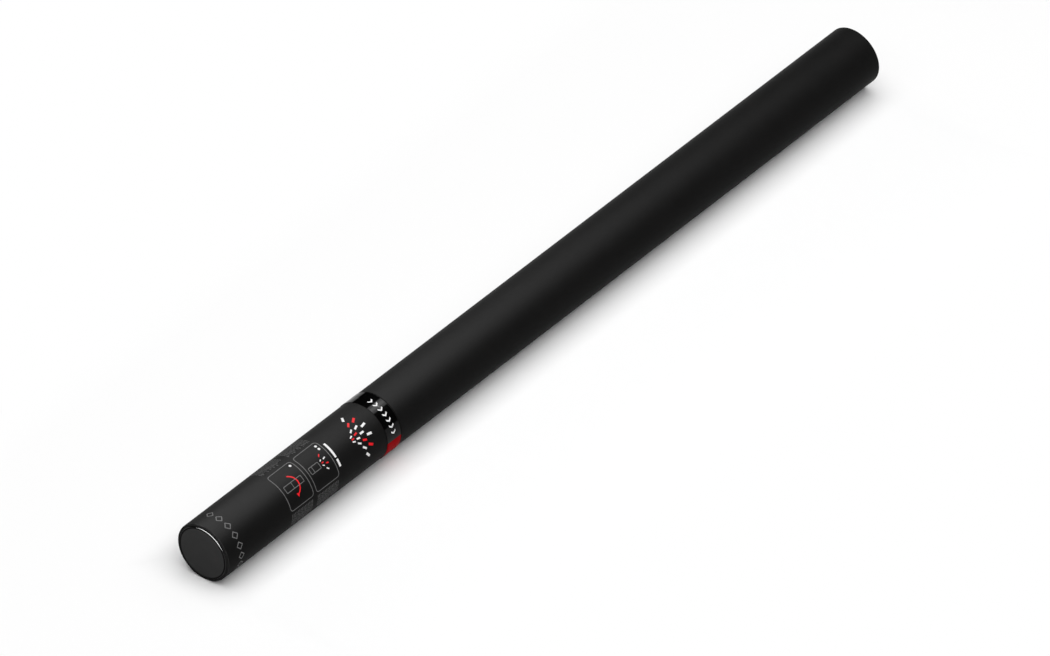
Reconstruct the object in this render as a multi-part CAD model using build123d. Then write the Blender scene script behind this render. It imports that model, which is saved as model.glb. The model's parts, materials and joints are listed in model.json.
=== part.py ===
from build123d import *
import os
from math import degrees, radians, sqrt

# Confetti popper, millimetres. Stations run along X from the base face to the muzzle;
# radii are taken from the tube's axis. The finished part lies on its side, +Z up, with
# its origin on the floor under the middle of the tube.

# Tube
tube_length = 800.0
tube_outer_r = 25.0
tube_wall = 1.5
twist_joint_x = 199.0      # middle of the joint between handle and barrel
twist_angle = 60.0         # degrees from shut to fired

# Clearances
plug_gap = 0.1             # pieces that are glued or pressed together
running_gap = 0.3          # pieces that move past each other
seal_gap = 0.1             # seals in the bores that they close
cut_overrun = 2.0          # cuts reach this far past what they open
round_limit_share = 0.9    # most of a wall that a rounding may take

# Base cap
cap_flange_thickness = 1.4
cap_edge_radius = 1.2
cap_rim_width = 2.0        # rounded rim outside the flat disc
cap_groove_width = 0.4     # fine groove between disc and rim
cap_groove_depth = 0.3
cap_skirt_length = 13.6
cap_skirt_wall = 1.8
cap_cradle_r = 14.0        # inside the ring that holds the pad
cap_cradle_wall = 1.5
cap_cradle_step = 0.6      # the pad stands this far above its ring
cap_rib_count = 6
cap_rib_thickness = 1.2
rib_root = 1.0             # ribs are sunk this far into the walls they join
pad_thickness = 4.6

# Gas cylinder
cylinder_side_room = 4.0   # between cylinder and handle, for the spacer rings
cylinder_wall = 1.2
cylinder_base_radius = 6.0
cylinder_shoulder_radius = 7.0
neck_length = 18.0
neck_wall = 2.2
neck_bead_length = 3.0
neck_bead_height = 0.8

# Spacer rings
spacer_length = 8.0
spacer_wall = 1.4
spacer_fin_count = 8
spacer_fin_thickness = 2.0
spacer_fin_sink = 0.5
spacer_place_shares = {"lower": 0.28, "upper": 0.86}   # of the cylinder's body

# Valve body
seat_r = 6.0
seat_ledge = 2.0           # step from the seat out to the collar's bore
seat_cone_depth = 3.0
shank_wall = 3.7
shank_length = 12.0
valve_flange_thickness = 3.7
collar_wall = 3.0
collar_below_pin = 16.0    # from the valve flange up to the pin at rest
collar_tip = 4.7           # collar left above the clip
gasket_thickness = 0.8
ferrule_wall = 0.8
ferrule_lip = 1.0

# Valve plug and cam pin
plug_nose_depth = 10.0     # nose below the top of the seat
plug_nose_gap = 0.3
plug_nose_round = 0.8
plug_ring_depth = 4.7      # O-ring below the top of the seat
plug_shoulder_rise = 1.0   # plug shoulder above the seat's cone
plug_body_gap = 0.4
plug_head_rise = 8.0       # plug top above the pin
flute_count = 4
flute_r = 1.8
pin_r = 1.5
pin_travel = 9.0
pin_below_joint = 21.0     # pin at rest below the twist joint
pin_reach = 2.5            # pin outside the collar
o_ring_section_r = 0.8

# Breech coupler
hub_wall = 4.7
hub_lead = 6.5             # hub below the pin
hub_rise = 9.0             # hub above the twist joint
keyway_end_room = 0.5
coupler_wall = 1.8
coupler_web_half = 3.0
coupler_rib_count = 6
coupler_rib_thickness = 1.6
journal_length = 27.0
spigot_length = 25.0
coupler_flange_thickness = 1.0
coupler_flange_inset = 0.5
collar_ring_rise = 3.0     # collar O-ring above the twist joint
clip_thickness = 1.0
clip_groove_depth = 0.8
clip_stand = 2.5
clip_mouth = 13.0

# Charge
wad_gap = 0.5
wad_thickness = 12.0
wad_card_gap = 0.4
wad_card_thickness = 1.6
top_card_thickness = 1.0
slip_length = 55.0
slip_width = 17.0
slip_layer_gap = 0.5
slip_stack_gap = 0.2
slip_stack_least = 1.0     # thinner stacks aren't packed
chamber_headroom = 46.0    # least room between the confetti and the lid

# Muzzle lid
lid_inset = 0.2
lid_thickness = 1.2
lid_skirt_length = 11.8
lid_skirt_wall = 1.0
lid_edge_radius = 0.5

# Safety strip, angles in degrees from the top towards -Y
strip_width = 16.0
strip_thickness = 0.3
strip_from = -145.0
strip_to = 90.0
tab_to = 140.0
tab_corner_radius = 3.0
strip_score_offset = 0.4   # scored line on the barrel beside the strip
strip_score_width = 0.8
strip_score_depth = 0.4

# Radii worked out from the tube inwards
tube_bore_r = tube_outer_r - tube_wall
journal_r = tube_bore_r - running_gap
coupler_bore_r = journal_r - coupler_wall
charge_r = tube_bore_r - running_gap
cylinder_r = tube_bore_r - cylinder_side_room

# Radii worked out from the valve seat outwards
collar_bore_r = seat_r + seat_ledge
collar_r = collar_bore_r + collar_wall
shank_r = seat_r + shank_wall
neck_bore_r = shank_r + plug_gap
neck_r = neck_bore_r + neck_wall
bead_r = neck_r + neck_bead_height
hub_bore_r = collar_r + running_gap
hub_r = hub_bore_r + hub_wall
pin_half_length = collar_r + pin_reach
clip_floor_r = collar_r - clip_groove_depth
pin_room = pin_r + running_gap

# Stations worked out from the twist joint
coupler_flange_x = twist_joint_x - coupler_flange_thickness / 2
barrel_x = twist_joint_x + coupler_flange_thickness / 2
sleeve_end_x = coupler_flange_x - running_gap
pin_x = twist_joint_x - pin_below_joint
hub_x = pin_x - pin_r - hub_lead
hub_end_x = twist_joint_x + hub_rise
clip_x = hub_end_x + running_gap
collar_end_x = clip_x + clip_thickness + collar_tip
valve_flange_end_x = pin_x - collar_below_pin
valve_flange_x = valve_flange_end_x - valve_flange_thickness
seat_cone_end_x = valve_flange_end_x + seat_cone_depth
neck_end_x = valve_flange_x - gasket_thickness
neck_x = neck_end_x - neck_length
bead_x = neck_end_x - neck_bead_length
cylinder_x = cap_flange_thickness + pad_thickness
spigot_end_x = twist_joint_x + spigot_length
wad_x = spigot_end_x + running_gap
wad_card_x = wad_x + wad_thickness
confetti_x = wad_card_x + wad_card_thickness + running_gap
lid_end_x = tube_length - lid_inset
lid_x = lid_end_x - lid_skirt_length
layer_pitch = slip_length + slip_layer_gap
layer_count = int((lid_x - chamber_headroom - confetti_x) // layer_pitch)
top_card_x = confetti_x + layer_count * layer_pitch - slip_layer_gap + running_gap
strip_x = twist_joint_x - strip_width / 2
strip_end_x = twist_joint_x + strip_width / 2


def profile(points, rounds=()):
    """Closed outline of (station, radius) points; rounds are (point number, radius) pairs."""
    face = make_face(Polyline(*points, close=True))
    for number, radius in rounds:
        corner = Vector(*points[number])
        vertex = min(face.vertices(), key=lambda v: (Vector(v) - corner).length)
        face = fillet(vertex, radius)
    return face


def turned(points, rounds=()):
    """Solid turned about the tube's axis."""
    return revolve(profile(points, rounds), Axis.X)


def ring(station, length, inner_r, outer_r):
    """Plain ring, or a disc where the inner radius is zero."""
    end = station + length
    return turned([(station, inner_r), (station, outer_r), (end, outer_r), (end, inner_r)])


def fins(station, length, inner_r, outer_r, thickness, count):
    """Flat radial fins, evenly spaced, the first one pointing up."""
    fin = Pos(station + length / 2, 0, (inner_r + outer_r) / 2) * Box(length, thickness, outer_r - inner_r)
    return [Rot(360 / count * number, 0, 0) * fin for number in range(count)]


def o_ring(station, outer_r):
    """Round-section seal about the tube's axis."""
    return Pos(station, 0, 0) * Rot(0, 90, 0) * Torus(outer_r - o_ring_section_r, o_ring_section_r)


def o_ring_groove(station, outer_r, face_r):
    """Four outline points of the groove that a seal lies in, cut into a face."""
    half = o_ring_section_r + plug_gap
    floor_r = outer_r - 2 * o_ring_section_r - plug_gap
    return [
        (station - half, face_r),
        (station - half, floor_r),
        (station + half, floor_r),
        (station + half, face_r),
    ]


def barrel_tube():
    """Wound board tube, with the scored line that the strip's edge is laid against."""
    score_x = strip_end_x + strip_score_offset
    score_end_x = score_x + strip_score_width
    floor_r = tube_outer_r - strip_score_depth
    return turned([
        (barrel_x, tube_bore_r),
        (barrel_x, tube_outer_r),
        (score_x, tube_outer_r),
        (score_x, floor_r),
        (score_end_x, floor_r),
        (score_end_x, tube_outer_r),
        (tube_length, tube_outer_r),
        (tube_length, tube_bore_r),
    ])


def breech_coupler():
    """Bulkhead glued in the barrel: the handle turns on its journal and hub."""
    web_x = twist_joint_x - coupler_web_half
    web_end_x = twist_joint_x + coupler_web_half
    journal_x = twist_joint_x - journal_length
    flange_r = tube_outer_r - coupler_flange_inset
    spigot_r = tube_bore_r - plug_gap
    body = turned([
        (hub_x, hub_bore_r),
        (hub_x, hub_r),
        (web_x, hub_r),
        (web_x, coupler_bore_r),
        (journal_x, coupler_bore_r),
        (journal_x, journal_r),
        (coupler_flange_x, journal_r),
        (coupler_flange_x, flange_r),
        (barrel_x, flange_r),
        (barrel_x, spigot_r),
        (spigot_end_x, spigot_r),
        (spigot_end_x, coupler_bore_r),
        (web_end_x, coupler_bore_r),
        (web_end_x, hub_r),
        (hub_end_x, hub_r),
        (hub_end_x, hub_bore_r),
    ])
    body += fins(
        journal_x,
        web_x - journal_x,
        hub_r - rib_root,
        coupler_bore_r + rib_root,
        coupler_rib_thickness,
        coupler_rib_count,
    )
    keyway_x = hub_x - cut_overrun
    keyway_end_x = pin_x + pin_travel + pin_r + keyway_end_room
    keyway_r = pin_half_length + keyway_end_room
    keyway = Box(keyway_end_x - keyway_x, 2 * pin_room, 2 * keyway_r)
    return body - Pos((keyway_x + keyway_end_x) / 2, 0, 0) * keyway


def base_cap():
    """Plug for the handle's end: rounded rim, skirt inside the tube, ribbed ring for the pad."""
    disc_r = tube_outer_r - cap_rim_width
    groove_r = disc_r - cap_groove_width
    skirt_r = tube_bore_r - plug_gap
    skirt_bore_r = skirt_r - cap_skirt_wall
    skirt_end_x = cap_flange_thickness + cap_skirt_length
    cradle_outer_r = cap_cradle_r + cap_cradle_wall
    cradle_end_x = cylinder_x - cap_cradle_step
    edge_r = min(cap_edge_radius, round_limit_share * cap_flange_thickness)
    cap = turned(
        [
            (0, 0),
            (0, groove_r),
            (cap_groove_depth, groove_r),
            (cap_groove_depth, disc_r),
            (0, disc_r),
            (0, tube_outer_r),
            (cap_flange_thickness, tube_outer_r),
            (cap_flange_thickness, skirt_r),
            (skirt_end_x, skirt_r),
            (skirt_end_x, skirt_bore_r),
            (cap_flange_thickness, skirt_bore_r),
            (cap_flange_thickness, cradle_outer_r),
            (cradle_end_x, cradle_outer_r),
            (cradle_end_x, cap_cradle_r),
            (cap_flange_thickness, cap_cradle_r),
            (cap_flange_thickness, 0),
        ],
        rounds=[(5, edge_r)],
    )
    return cap + fins(
        cap_flange_thickness,
        cradle_end_x - cap_flange_thickness,
        cradle_outer_r - rib_root,
        skirt_bore_r + rib_root,
        cap_rib_thickness,
        cap_rib_count,
    )


def gas_cylinder():
    """Drawn aluminium bottle with a beaded neck."""
    base_r = min(cylinder_base_radius, round_limit_share * cylinder_r)
    shoulder_r = min(cylinder_shoulder_radius, round_limit_share * (cylinder_r - neck_r))
    inner_base_r = base_r * (cylinder_r - cylinder_wall) / cylinder_r
    inner_shoulder_r = shoulder_r * (cylinder_r - cylinder_wall) / cylinder_r
    inner_r = cylinder_r - cylinder_wall
    return turned(
        [
            (cylinder_x, 0),
            (cylinder_x, cylinder_r),
            (neck_x, cylinder_r),
            (neck_x, neck_r),
            (bead_x, neck_r),
            (bead_x, bead_r),
            (neck_end_x, bead_r),
            (neck_end_x, neck_bore_r),
            (neck_x - cylinder_wall, neck_bore_r),
            (neck_x - cylinder_wall, inner_r),
            (cylinder_x + cylinder_wall, inner_r),
            (cylinder_x + cylinder_wall, 0),
        ],
        rounds=[(1, base_r), (2, shoulder_r), (9, inner_shoulder_r), (10, inner_base_r)],
    )


def spacer_ring(place_share):
    """Finned ring that centres the cylinder in the handle."""
    middle = cylinder_x + place_share * (neck_x - cylinder_x)
    start = middle - spacer_length / 2
    inner_r = cylinder_r + plug_gap
    outer_r = inner_r + spacer_wall
    band = ring(start, spacer_length, inner_r, outer_r)
    return band + fins(
        start,
        spacer_length,
        outer_r - spacer_fin_sink,
        tube_bore_r - plug_gap,
        spacer_fin_thickness,
        spacer_fin_count,
    )


def cam_slots():
    """Twisted bar that cuts both helical slots: one pin travel for one twist of the handle."""
    length = pin_travel + 2 * pin_room
    turn = twist_angle / pin_travel
    slant = collar_r * radians(turn)
    width = 2 * pin_room * sqrt(1 + slant**2)
    section = Rectangle(2 * (collar_r + cut_overrun), width)
    outline = Plane.YZ * Rot(0, 0, 90 + turn * pin_room) * section
    bar = Solid.extrude_linear_with_rotation(
        outline.face(), (0, 0, 0), (length, 0, 0), -turn * length
    )
    return Pos(pin_x - pin_room, 0, 0) * bar


def valve_body():
    """Valve housing: shank in the neck, seat, and the collar with the cam slots."""
    shank_x = valve_flange_x - shank_length
    clip_groove_x = clip_x - plug_gap
    clip_groove_end_x = clip_x + clip_thickness + plug_gap
    collar_ring_r = hub_bore_r - seal_gap
    body = turned([
        (shank_x, seat_r),
        (shank_x, shank_r),
        (valve_flange_x, shank_r),
        (valve_flange_x, bead_r),
        (valve_flange_end_x, bead_r),
        (valve_flange_end_x, collar_r),
        *o_ring_groove(twist_joint_x + collar_ring_rise, collar_ring_r, collar_r),
        (clip_groove_x, collar_r),
        (clip_groove_x, clip_floor_r),
        (clip_groove_end_x, clip_floor_r),
        (clip_groove_end_x, collar_r),
        (collar_end_x, collar_r),
        (collar_end_x, collar_bore_r),
        (seat_cone_end_x, collar_bore_r),
        (valve_flange_end_x, seat_r),
    ])
    return body - cam_slots()


def crimp_ferrule():
    """Thin ring crimped under the neck's bead and over the valve flange."""
    inner_r = bead_r + plug_gap
    outer_r = inner_r + ferrule_wall
    lip_x = bead_x - ferrule_lip
    lip_end_x = valve_flange_end_x + ferrule_lip
    return turned([
        (lip_x, neck_r + plug_gap),
        (lip_x, outer_r),
        (lip_end_x, outer_r),
        (lip_end_x, collar_r + plug_gap),
        (valve_flange_end_x, collar_r + plug_gap),
        (valve_flange_end_x, inner_r),
        (bead_x, inner_r),
        (bead_x, neck_r + plug_gap),
    ])


def retaining_clip():
    """Open clip in the collar's groove, above the hub."""
    inner_r = clip_floor_r + plug_gap
    outer_r = collar_r + clip_stand
    clip = ring(clip_x, clip_thickness, inner_r, outer_r)
    mouth_length = outer_r + cut_overrun
    mouth = Box(clip_thickness + cut_overrun, clip_mouth, mouth_length)
    return clip - Pos(clip_x + clip_thickness / 2, 0, -mouth_length / 2) * mouth


def valve_plug():
    """Plug with its nose in the seat, flutes for the gas and a cross hole for the pin."""
    nose_r = seat_r - plug_nose_gap
    body_r = collar_bore_r - plug_body_gap
    nose_x = valve_flange_end_x - plug_nose_depth
    shoulder_x = seat_cone_end_x + plug_shoulder_rise
    head_x = pin_x + plug_head_rise
    plug = turned(
        [
            (nose_x, 0),
            (nose_x, nose_r),
            *o_ring_groove(valve_flange_end_x - plug_ring_depth, seat_r - seal_gap, nose_r),
            (shoulder_x, nose_r),
            (shoulder_x, body_r),
            (head_x, body_r),
            (head_x, 0),
        ],
        rounds=[(1, plug_nose_round)],
    )
    flute_length = head_x - shoulder_x + 2 * cut_overrun
    flute = Pos((shoulder_x + head_x) / 2, 0, body_r) * Rot(0, 90, 0) * Cylinder(flute_r, flute_length)
    step = 360 / flute_count
    for number in range(flute_count):
        plug -= Rot(step * (number + 1 / 2), 0, 0) * flute
    return plug - Pos(pin_x, 0, 0) * Cylinder(pin_r + plug_gap, 2 * (body_r + cut_overrun))


def confetti_layer(number):
    """Stacks of slips that fill the bore: thick columns side by side, thin stacks in the room round them."""
    half_width = slip_width / 2
    reach = sqrt(charge_r**2 - half_width**2)
    column_pitch = slip_width + slip_stack_gap
    column_count = int(2 * charge_r // column_pitch)
    column_edge = (column_count * column_pitch - slip_stack_gap) / 2
    column_half = sqrt(charge_r**2 - column_edge**2)
    column = Pos(0, half_width - column_edge, 0) * Box(slip_length, slip_width, 2 * column_half)
    stacks = [Pos(0, place * column_pitch, 0) * column for place in range(column_count)]
    above = reach - column_half - slip_stack_gap
    if above > slip_stack_least:
        stack = Box(slip_length, slip_width, above)
        stacks += [Pos(0, 0, side * (reach - above / 2)) * stack for side in (-1, 1)]
    beside = reach - column_edge - slip_stack_gap
    if beside > slip_stack_least:
        stack = Box(slip_length, beside, slip_width)
        stacks += [Pos(0, side * (reach - beside / 2), 0) * stack for side in (-1, 1)]
    middle = confetti_x + number * layer_pitch + slip_length / 2
    quarter_turn = 90 * (number % 2)
    return Compound([Pos(middle, 0, 0) * Rot(quarter_turn, 0, 0) * stack for stack in stacks])


def muzzle_lid():
    """Thin cup pressed into the muzzle."""
    outer_r = tube_bore_r - running_gap
    inner_r = outer_r - lid_skirt_wall
    floor_x = lid_end_x - lid_thickness
    edge_r = min(lid_edge_radius, round_limit_share * lid_thickness)
    return turned(
        [
            (lid_x, inner_r),
            (lid_x, outer_r),
            (lid_end_x, outer_r),
            (lid_end_x, 0),
            (floor_x, 0),
            (floor_x, inner_r),
        ],
        rounds=[(2, edge_r)],
    )


def film(from_angle, to_angle):
    """Stretch of the strip's film round the tube, angles from the top towards -Y."""
    inner_r = tube_outer_r + running_gap
    outer_r = inner_r + strip_thickness
    section = profile([
        (strip_x, inner_r),
        (strip_x, outer_r),
        (strip_end_x, outer_r),
        (strip_end_x, inner_r),
    ])
    return revolve(Rot(90 + from_angle, 0, 0) * section, Axis.X, to_angle - from_angle)


def pull_tab():
    """Loose end of the strip, past a fine gap at the fold, with two rounded corners."""
    fold_gap = degrees(running_gap / tube_outer_r)
    tab = film(strip_to + fold_gap, tab_to)
    across_film = tab.edges().filter_by(GeomType.LINE).filter_by(Axis.X, reverse=True)
    free_corners = across_film.sort_by(Axis.Z)[:2]
    return fillet(free_corners, tab_corner_radius)


pieces = {
    "barrel_tube": barrel_tube(),
    "breech_coupler": breech_coupler(),
    "grip_sleeve": ring(cap_flange_thickness, sleeve_end_x - cap_flange_thickness, tube_bore_r, tube_outer_r),
    "base_cap": base_cap(),
    "cylinder_pad": ring(cap_flange_thickness, pad_thickness, 0, cap_cradle_r - plug_gap),
    "gas_cylinder": gas_cylinder(),
    "valve_body": valve_body(),
    "neck_gasket": ring(neck_end_x, gasket_thickness, shank_r + plug_gap, bead_r),
    "crimp_ferrule": crimp_ferrule(),
    "collar_o_ring": o_ring(twist_joint_x + collar_ring_rise, hub_bore_r - seal_gap),
    "retaining_clip": retaining_clip(),
    "valve_plug": valve_plug(),
    "plug_o_ring": o_ring(valve_flange_end_x - plug_ring_depth, seat_r - seal_gap),
    "cam_pin": Pos(pin_x, 0, 0) * Cylinder(pin_r, 2 * pin_half_length),
    "pusher_wad": ring(wad_x, wad_thickness, 0, tube_bore_r - wad_gap),
    "wad_card": ring(wad_card_x, wad_card_thickness, 0, tube_bore_r - wad_card_gap),
    "top_card": ring(top_card_x, top_card_thickness, 0, tube_bore_r - wad_card_gap),
    "muzzle_lid": muzzle_lid(),
    "safety_strip": film(strip_from, strip_to),
    "pull_tab": pull_tab(),
}
for name, share in spacer_place_shares.items():
    pieces[f"spacer_ring_{name}"] = spacer_ring(share)
for number in range(layer_count):
    pieces[f"confetti_layer_{number + 1}"] = confetti_layer(number)

os.makedirs("parts", exist_ok=True)
for name, piece in pieces.items():
    export_step(Pos(-tube_length / 2, 0, tube_outer_r) * piece, f"parts/{name}.step")
    print(name, round(piece.volume))
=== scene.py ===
# %% [markdown]
# # Confetti popper
# An 80 cm black paper tube with a twist handle lies on a white floor. A glossy film strip
# with a red pull tab locks the handle, a cap closes the near end and a thin lid the far end.
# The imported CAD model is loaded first. It is a fixed frame: each piece below is fitted to
# its sizes, rides on one of its bodies and so moves with its joints.

# %% Load the frame
import json
import math
import random

import bmesh
import bpy
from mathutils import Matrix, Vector

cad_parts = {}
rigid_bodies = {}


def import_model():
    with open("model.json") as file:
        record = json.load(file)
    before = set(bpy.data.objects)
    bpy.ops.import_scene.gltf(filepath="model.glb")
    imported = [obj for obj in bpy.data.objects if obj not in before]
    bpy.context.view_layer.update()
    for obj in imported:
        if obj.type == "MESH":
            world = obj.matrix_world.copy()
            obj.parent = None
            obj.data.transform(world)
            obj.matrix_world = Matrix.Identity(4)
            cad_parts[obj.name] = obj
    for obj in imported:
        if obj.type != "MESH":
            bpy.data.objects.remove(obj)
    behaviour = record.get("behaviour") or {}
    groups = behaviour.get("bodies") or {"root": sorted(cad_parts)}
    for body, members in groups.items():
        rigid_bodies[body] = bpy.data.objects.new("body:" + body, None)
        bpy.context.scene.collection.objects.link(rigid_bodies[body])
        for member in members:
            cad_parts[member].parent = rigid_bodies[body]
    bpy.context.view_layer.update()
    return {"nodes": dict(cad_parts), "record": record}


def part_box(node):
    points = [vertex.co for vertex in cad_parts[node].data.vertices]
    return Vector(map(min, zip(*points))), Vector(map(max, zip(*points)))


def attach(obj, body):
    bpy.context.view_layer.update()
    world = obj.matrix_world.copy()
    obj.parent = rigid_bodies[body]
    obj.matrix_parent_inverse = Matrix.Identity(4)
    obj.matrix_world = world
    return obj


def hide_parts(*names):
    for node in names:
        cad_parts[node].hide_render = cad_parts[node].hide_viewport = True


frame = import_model()
nodes = frame["nodes"]
bpy.ops.object.select_all(action="DESELECT")

# %% [markdown]
# ## Shared sizes
# The tube lies along X. It is easiest to think in millimetres: a station is a distance from
# the base face, a radius is taken from the tube's axis. They are read from the CAD nodes and
# from the record's mount on the barrel, so nothing here has to be kept in step by hand.

# %% Stations and radii
MM = 0.001
clip = next(m for m in frame["record"]["mounts"] if m["name"] == "barrel_clip")
axis_z = clip["pos_m"][2]
tube_r = clip["dims"]["r_mm"]
base_x = round(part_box("base_cap")[0].x, 4)
tube_wall = 1.5
bore_r = tube_r - tube_wall


def stations(node):
    """Where a CAD node begins and ends, in millimetres from the base face."""
    low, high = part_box(node)
    return [round((end.x - base_x) / MM, 1) for end in (low, high)]


def node_radius(node):
    """How far a CAD node reaches from the tube's axis, in millimetres."""
    reach = [math.hypot(p.co.y, p.co.z - axis_z) for p in nodes[node].data.vertices]
    return round(max(reach) / MM, 1)


print("tube radius", tube_r, "barrel", stations("barrel_tube"), "handle", stations("grip_sleeve"))

# %% [markdown]
# ## Camera
# The picture is taken from far away with a long lens, so the tube hardly tapers. The camera
# stands on the base side, 38 degrees above the floor, and the tube runs 51 degrees away from
# the picture's horizontal. The lens is given for a 36 mm sensor.

# %% Set up the camera
camera_rise = math.radians(38.16)
tube_turn = math.radians(51.07)
camera_distance = 14.257
focal_length, sensor_width = 633.4, 36
aim = Vector((-0.0067, 0.0034, 0))
looking = Vector((
    math.sin(tube_turn) * math.cos(camera_rise),
    math.cos(tube_turn) * math.cos(camera_rise),
    -math.sin(camera_rise),
))
lens = bpy.data.cameras.new("long_lens")
lens.lens = focal_length
lens.sensor_width = sensor_width
lens.sensor_fit = "HORIZONTAL"
lens.clip_end = 100
camera = bpy.data.objects.new("camera", lens)
bpy.context.scene.collection.objects.link(camera)
camera.location = aim - looking * camera_distance
camera.rotation_mode = "QUATERNION"
camera.rotation_quaternion = looking.to_track_quat("-Z", "Y")
bpy.context.scene.camera = camera
bpy.context.scene.view_settings.view_transform = "Standard"
print("camera at", [round(c, 3) for c in camera.location])

# %% [markdown]
# ## Helpers for modelling
# With no window, faces and points are chosen in code by their place. These helpers do what a
# modeller does by hand: open a new mesh, pick points, draw half a section and spin it.

# %% Pick, open and close
def pick_points(piece, test):
    """Select the points whose place passes a test."""
    bpy.ops.mesh.select_mode(type="VERT")
    bpy.ops.mesh.select_all(action="DESELECT")
    mesh = bmesh.from_edit_mesh(piece.data)
    for point in mesh.verts:
        if test(point.co):
            point.select_set(True)
    mesh.select_flush(True)
    bmesh.update_edit_mesh(piece.data)


def pick_faces(piece, test):
    """Select the faces that pass a test."""
    bpy.ops.mesh.select_mode(type="FACE")
    bpy.ops.mesh.select_all(action="DESELECT")
    mesh = bmesh.from_edit_mesh(piece.data)
    mesh.normal_update()
    for face in mesh.faces:
        if test(face):
            face.select_set(True)
    bmesh.update_edit_mesh(piece.data)


def new_sheet(name):
    """A new mesh with nothing in it, left open in edit mode."""
    bpy.ops.object.select_all(action="DESELECT")
    bpy.ops.mesh.primitive_plane_add(size=MM)
    piece = bpy.context.object
    piece.name = piece.data.name = name
    bpy.ops.object.mode_set(mode="EDIT")
    bpy.ops.mesh.select_mode(type="VERT")
    bpy.ops.mesh.delete(type="VERT")
    return piece


def close(piece, smooth=35):
    """Leave edit mode and shade smooth up to an angle."""
    bpy.ops.object.mode_set(mode="OBJECT")
    bpy.ops.object.shade_smooth_by_angle(angle=math.radians(smooth))
    print(piece.name, len(piece.data.polygons), "faces")
    return piece


def apply(piece, kind, **settings):
    """Add a modifier, set it and apply it."""
    bpy.context.view_layer.objects.active = piece
    modifier = piece.modifiers.new(kind.lower(), kind)
    for name, setting in settings.items():
        setattr(modifier, name, setting)
    bpy.ops.object.modifier_apply(modifier=modifier.name)


# %% Draw half a section and spin it
round_steps = 192


def rounding(x, r, size, start, stop, tall=None, count=6):
    """Points on a corner, as (station, radius) pairs about a centre."""
    turns = [math.radians(start + (stop - start) * n / count) for n in range(count + 1)]
    return [(x + size * math.cos(a), r + (tall or size) * math.sin(a)) for a in turns]


def draw(points):
    """Extrude one point from place to place, along a line of places."""
    bpy.ops.mesh.primitive_plane_add(size=MM, location=points[0])
    bpy.ops.mesh.merge(type="CENTER")
    for here, there in zip(points, points[1:]):
        bpy.ops.mesh.extrude_region_move(TRANSFORM_OT_translate={"value": there - here})
    bpy.ops.mesh.select_linked()


def spin_section(section, steps=round_steps):
    """Draw a half section of (station, radius) pairs and spin it round the tube's axis."""
    draw([Vector((base_x + x * MM, 0, axis_z + r * MM)) for x, r in section])
    bpy.ops.mesh.spin(
        steps=steps, angle=math.tau, center=(0, 0, axis_z), axis=(1, 0, 0)
    )
    bpy.ops.mesh.select_linked()
    bpy.ops.mesh.remove_doubles(threshold=MM / 500)
    bpy.ops.mesh.normals_make_consistent(inside=False)


def turned(name, section, steps=round_steps):
    """A piece made by one spin, as on a lathe."""
    piece = new_sheet(name)
    spin_section(section, steps)
    return close(piece)


def settle(piece, body, slot, finish, *replaced):
    """Give a piece its finish, its body and the CAD nodes that it stands for."""
    piece.data.materials.clear()
    piece.data.materials.append(finish)
    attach(piece, body)
    if replaced:
        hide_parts(*replaced)
    return piece


# %% [markdown]
# ## Shader sums
# A finish is a small tree of shader nodes. Written node by node it is hard to read, so one
# class wraps a socket: plus, minus and times make Math nodes, and `node` makes any other.

# %% The class for shader sums
class Tone:
    """One output socket of a finish, which can be used in sums."""

    def __init__(self, tree, socket=None):
        self.tree = tree
        self.socket = socket

    def node(self, kind, settings=None, sockets=None, output=0):
        """Add a node: its settings first, then its sockets' values or links."""
        made = self.tree.nodes.new("ShaderNode" + kind)
        for name, setting in (settings or {}).items():
            setattr(made, name, setting)
        for name, given in (sockets or {}).items():
            if isinstance(given, Tone):
                self.tree.links.new(given.socket, made.inputs[name])
            else:
                made.inputs[name].default_value = given
        return Tone(self.tree, made.outputs[output] if made.outputs else None)

    def maths(self, operation, *terms):
        return self.node("Math", {"operation": operation}, dict(enumerate(terms)))

    def __add__(self, other):
        return self.maths("ADD", self, other)

    def __sub__(self, other):
        return self.maths("SUBTRACT", self, other)

    def __rsub__(self, other):
        return self.maths("SUBTRACT", other, self)

    def __mul__(self, other):
        return self.maths("MULTIPLY", self, other)

    __radd__ = __add__
    __rmul__ = __mul__

    def larger(self, other):
        return self.maths("MAXIMUM", self, other)

    def step(self, low, high):
        """0 below low, 1 above high, and a soft change between them."""
        ends = {"Value": self, "From Min": low, "From Max": high}
        return self.node("MapRange", {"interpolation_type": "SMOOTHSTEP"}, ends)

    def mix(self, first, second):
        """From one colour to another, with this value as the share."""
        return self.node("Mix", {"data_type": "RGBA"}, {0: self, 6: first, 7: second}, 2)

    def bump(self, depth, strength=1.0):
        """A normal from this height, whose full depth is in millimetres."""
        sockets = {"Strength": strength, "Distance": depth * MM, "Height": self}
        return self.node("Bump", {}, sockets)


# %% Places and noise on a surface
def place(tree):
    """Object coordinates: metres in the frame that all the pieces share."""
    return tree.node("TexCoord", output="Object")


def along(tree):
    """Station of a point, in millimetres from the base."""
    x = tree.node("SeparateXYZ", {}, {0: place(tree)}, "X")
    return (x - base_x) * (1 / MM)


def out(tree):
    """Radius of a point from the tube's axis, in millimetres."""
    flat = {"Vector": place(tree), "Location": (0, 0, -axis_z), "Scale": (0, 1, 1)}
    centred = tree.node("Mapping", {}, flat)
    return tree.node("VectorMath", {"operation": "LENGTH"}, {0: centred}, "Value") * (1 / MM)


def noise(tree, size, detail=2.0, stretch=(1, 1, 1)):
    """Noise from 0 to 1 with lumps of about this many millimetres."""
    drawn = tree.node("Mapping", {}, {"Vector": place(tree), "Scale": stretch})
    sockets = {"Vector": drawn, "Scale": 1 / (size * MM), "Detail": detail}
    return tree.node("TexNoise", {}, sockets)


def grey(level, warm=0.0):
    """A grey colour, a little warmer where asked."""
    return (level * (1 + warm), level, level * (1 - warm), 1)


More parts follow.
